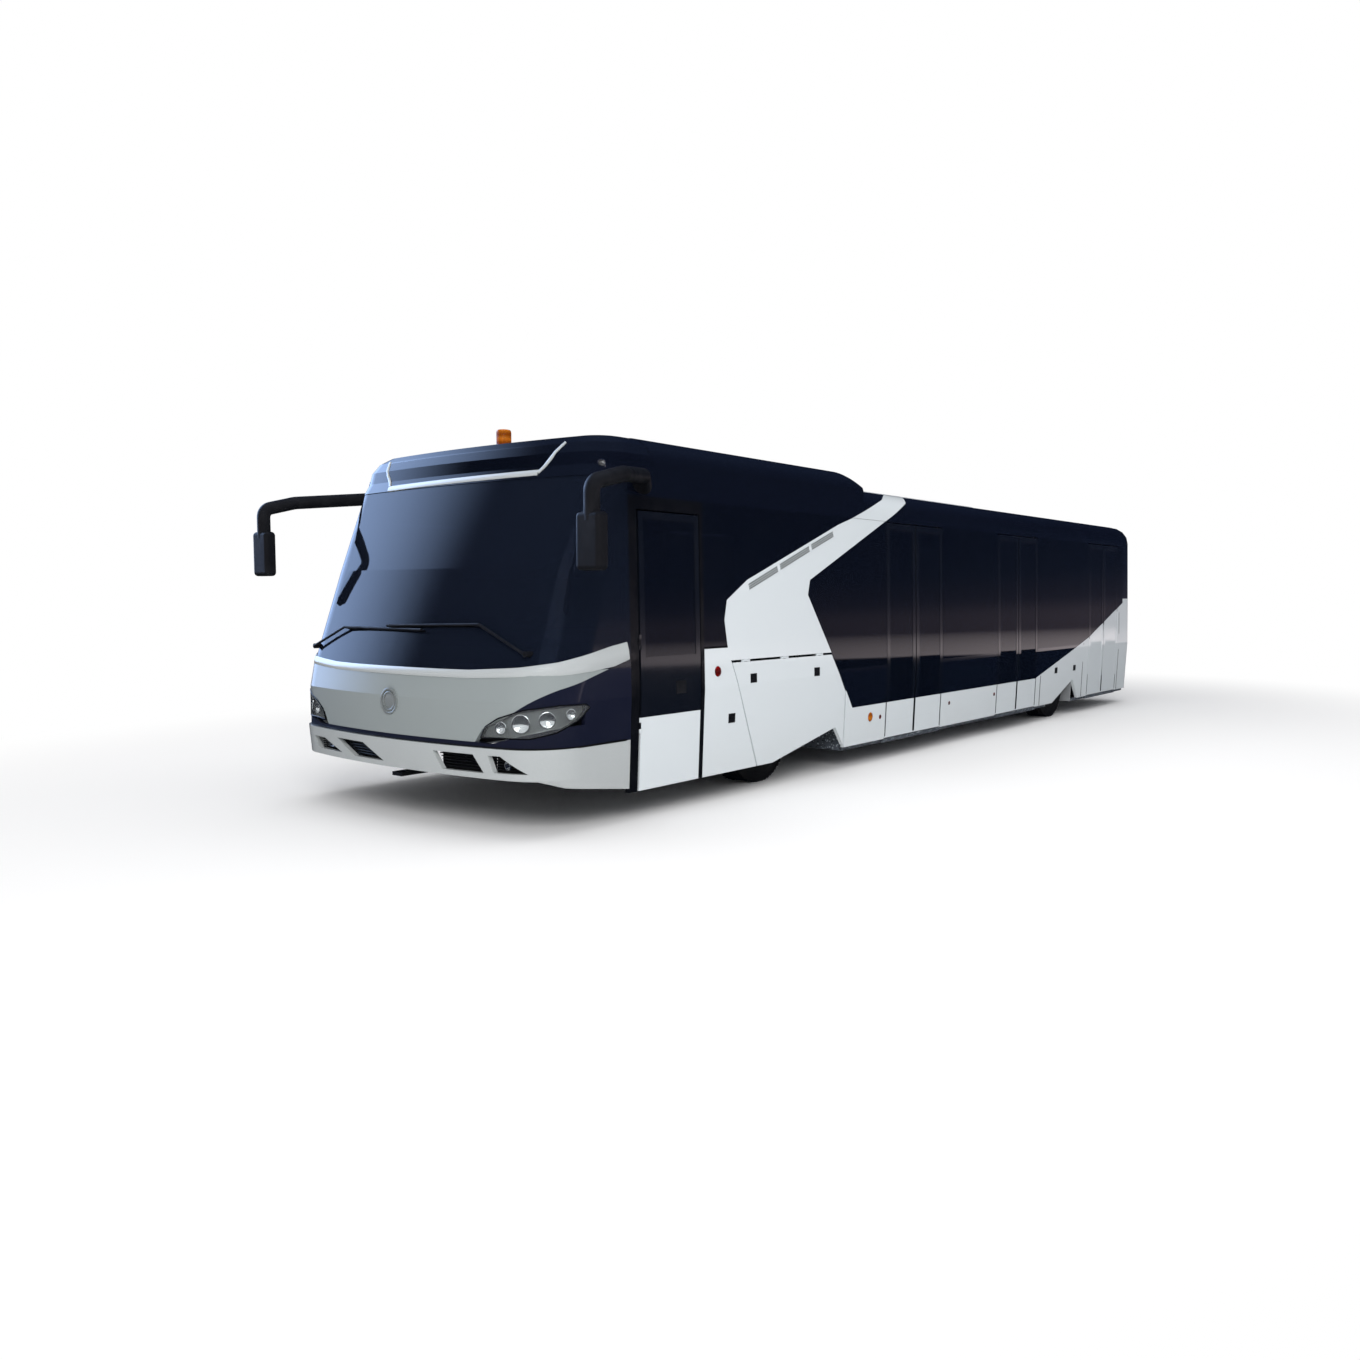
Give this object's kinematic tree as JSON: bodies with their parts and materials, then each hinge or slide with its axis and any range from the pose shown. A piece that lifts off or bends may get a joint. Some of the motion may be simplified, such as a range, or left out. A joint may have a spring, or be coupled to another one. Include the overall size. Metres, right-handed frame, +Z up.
{
  "type": "airport passenger bus",
  "caption": "Low-floor apron bus with double doors and a cab door on both sides, a raised front roof and hinged flaps over the steered wheels.",
  "frame": {"origin": "on the ground, under the middle of the bus's outer box", "axes": "+Z up, the bus's front looks along -Y, its left side is +X"},
  "size_m": [4.29, 13.8996, 3.2099],
  "materials": {
    "body_white": "gloss solid paint, lightly dusty",
    "body_silver": "gloss metallic silver-grey paint",
    "body_dark": "gloss blue-black paint",
    "tinted_glass": "dark tinted safety glass",
    "screen_glass": "lightly tinted laminated glass",
    "black_plastic": "grained black plastic",
    "tyre": "matt rubber",
    "wheel_steel": "silver-grey paint on pressed steel",
    "chassis_steel": "black chassis paint",
    "floor_covering": "speckled slip-resistant sheet",
    "seat_cloth": "woven wool cloth",
    "lamp_clear": "clear moulded lens over chrome",
    "lamp_red": "red lens",
    "beacon_amber": "amber lens",
    "rail_steel": "satin tube",
    "engine_casting": "rough casting"
  },
  "bodies": {
    "body": {"front_bumper": "body_silver", "front_panel": "body_silver", "front_lamps": "lamp_clear", "windscreen": "screen_glass", "header_panel": "body_dark", "dome_roof": "body_dark", "dome_sides": "body_dark", "main_roof": "body_dark", "roof_edges": "body_dark", "roof_pod": "body_white", "cab_door_frames": "body_dark", "beacon": "beacon_amber", "slanted_panels": "body_white", "side_skirts": "body_white", "waist_panels": "body_dark", "window_panes": "tinted_glass", "wall_posts": "black_plastic", "door_operators": "black_plastic", "cabin_floor": "floor_covering", "wheel_boxes": "black_plastic", "cab_platform": "floor_covering", "chassis_frame": "chassis_steel", "engine_block": "engine_casting", "axles": "chassis_steel", "dashboard": "black_plastic", "steering_wheel": "black_plastic", "driver_seat": "seat_cloth", "grab_poles": "rail_steel", "rear_low_panel": "body_white", "tail_lamps": "lamp_red", "rear_high_panel": "body_dark", "rear_roof": "body_dark", "mirrors": "black_plastic", "wipers": "black_plastic"},
    "cab_door_body_left": {"cab_door_left": "body_dark"},
    "flap_left": {"engine_flap_left": "body_white"},
    "knuckle_body_left": {"knuckle_left": "chassis_steel"},
    "wheel_front_left": {"tyre_front_left": "tyre", "rim_front_left": "wheel_steel"},
    "wheel_rear_left": {"tyre_rear_left": "tyre", "rim_rear_left": "wheel_steel"},
    "leaf1_fore_left": {"door1_fore_left": "body_dark"},
    "leaf1_aft_left": {"door1_aft_left": "body_dark"},
    "leaf2_fore_left": {"door2_fore_left": "body_dark"},
    "leaf2_aft_left": {"door2_aft_left": "body_dark"},
    "leaf3_fore_left": {"door3_fore_left": "body_dark"},
    "leaf3_aft_left": {"door3_aft_left": "body_dark"},
    "cab_door_body_right": {"cab_door_right": "body_dark"},
    "flap_right": {"engine_flap_right": "body_white"},
    "knuckle_body_right": {"knuckle_right": "chassis_steel"},
    "wheel_front_right": {"tyre_front_right": "tyre", "rim_front_right": "wheel_steel"},
    "wheel_rear_right": {"tyre_rear_right": "tyre", "rim_rear_right": "wheel_steel"},
    "leaf1_fore_right": {"door1_fore_right": "body_dark"},
    "leaf1_aft_right": {"door1_aft_right": "body_dark"},
    "leaf2_fore_right": {"door2_fore_right": "body_dark"},
    "leaf2_aft_right": {"door2_aft_right": "body_dark"},
    "leaf3_fore_right": {"door3_fore_right": "body_dark"},
    "leaf3_aft_right": {"door3_aft_right": "body_dark"}
  },
  "joints": [
    {"name": "cab_door_left", "type": "hinge", "parent": "body", "child": "cab_door_body_left", "pos_m": [1.566, -5.701, 1], "axis": [0, 0, -1], "range_deg": [0, 75]},
    {"name": "flap_left", "type": "hinge", "parent": "body", "child": "flap_left", "pos_m": [1.561, -3.62, 1.209], "axis": [0, -1, 0], "range_deg": [0, 85]},
    {"name": "steer_left", "type": "hinge", "parent": "body", "child": "knuckle_body_left", "pos_m": [1.01, -3.58, 0.478], "axis": [0, 0, 1], "range_deg": [-38, 38]},
    {"name": "wheel_front_left", "type": "hinge", "parent": "knuckle_body_left", "child": "wheel_front_left", "pos_m": [1.13, -3.58, 0.478], "axis": [1, 0, 0], "continuous": true},
    {"name": "wheel_rear_left", "type": "hinge", "parent": "body", "child": "wheel_rear_left", "pos_m": [1.262, 3.75, 0.478], "axis": [1, 0, 0], "continuous": true},
    {"name": "door1_fore_left", "type": "hinge", "parent": "body", "child": "leaf1_fore_left", "pos_m": [1.48, -1.598, 1.4], "axis": [0, 0, 1], "range_deg": [0, 88]},
    {"name": "door1_aft_left", "type": "hinge", "parent": "body", "child": "leaf1_aft_left", "pos_m": [1.48, -0.282, 1.4], "axis": [0, 0, 1], "range_deg": [-88, 0]},
    {"name": "door2_fore_left", "type": "hinge", "parent": "body", "child": "leaf2_fore_left", "pos_m": [1.48, 1.392, 1.4], "axis": [0, 0, 1], "range_deg": [0, 88]},
    {"name": "door2_aft_left", "type": "hinge", "parent": "body", "child": "leaf2_aft_left", "pos_m": [1.48, 2.708, 1.4], "axis": [0, 0, 1], "range_deg": [-88, 0]},
    {"name": "door3_fore_left", "type": "hinge", "parent": "body", "child": "leaf3_fore_left", "pos_m": [1.48, 4.872, 1.4], "axis": [0, 0, 1], "range_deg": [0, 88]},
    {"name": "door3_aft_left", "type": "hinge", "parent": "body", "child": "leaf3_aft_left", "pos_m": [1.48, 6.188, 1.4], "axis": [0, 0, 1], "range_deg": [-88, 0]},
    {"name": "cab_door_right", "type": "hinge", "parent": "body", "child": "cab_door_body_right", "pos_m": [-1.566, -5.701, 1], "axis": [0, 0, 1], "range_deg": [0, 75]},
    {"name": "flap_right", "type": "hinge", "parent": "body", "child": "flap_right", "pos_m": [-1.561, -3.62, 1.209], "axis": [0, 1, 0], "range_deg": [0, 85]},
    {"name": "steer_right", "type": "hinge", "parent": "body", "child": "knuckle_body_right", "pos_m": [-1.01, -3.58, 0.478], "axis": [0, 0, 1], "range_deg": [-38, 38]},
    {"name": "wheel_front_right", "type": "hinge", "parent": "knuckle_body_right", "child": "wheel_front_right", "pos_m": [-1.13, -3.58, 0.478], "axis": [1, 0, 0], "continuous": true},
    {"name": "wheel_rear_right", "type": "hinge", "parent": "body", "child": "wheel_rear_right", "pos_m": [-1.262, 3.75, 0.478], "axis": [1, 0, 0], "continuous": true},
    {"name": "door1_fore_right", "type": "hinge", "parent": "body", "child": "leaf1_fore_right", "pos_m": [-1.48, -1.598, 1.4], "axis": [0, 0, -1], "range_deg": [0, 88]},
    {"name": "door1_aft_right", "type": "hinge", "parent": "body", "child": "leaf1_aft_right", "pos_m": [-1.48, -0.282, 1.4], "axis": [0, 0, -1], "range_deg": [-88, 0]},
    {"name": "door2_fore_right", "type": "hinge", "parent": "body", "child": "leaf2_fore_right", "pos_m": [-1.48, 1.392, 1.4], "axis": [0, 0, -1], "range_deg": [0, 88]},
    {"name": "door2_aft_right", "type": "hinge", "parent": "body", "child": "leaf2_aft_right", "pos_m": [-1.48, 2.708, 1.4], "axis": [0, 0, -1], "range_deg": [-88, 0]},
    {"name": "door3_fore_right", "type": "hinge", "parent": "body", "child": "leaf3_fore_right", "pos_m": [-1.48, 4.872, 1.4], "axis": [0, 0, -1], "range_deg": [0, 88]},
    {"name": "door3_aft_right", "type": "hinge", "parent": "body", "child": "leaf3_aft_right", "pos_m": [-1.48, 6.188, 1.4], "axis": [0, 0, -1], "range_deg": [-88, 0]}
  ],
  "couplings": [
    {"joint": "door1_aft_left", "follows": "door1_fore_left", "ratio": -1},
    {"joint": "door2_aft_left", "follows": "door2_fore_left", "ratio": -1},
    {"joint": "door3_aft_left", "follows": "door3_fore_left", "ratio": -1},
    {"joint": "door1_aft_right", "follows": "door1_fore_right", "ratio": -1},
    {"joint": "door2_aft_right", "follows": "door2_fore_right", "ratio": -1},
    {"joint": "door3_aft_right", "follows": "door3_fore_right", "ratio": -1},
    {"joint": "steer_right", "follows": "steer_left", "ratio": 1}
  ]
}
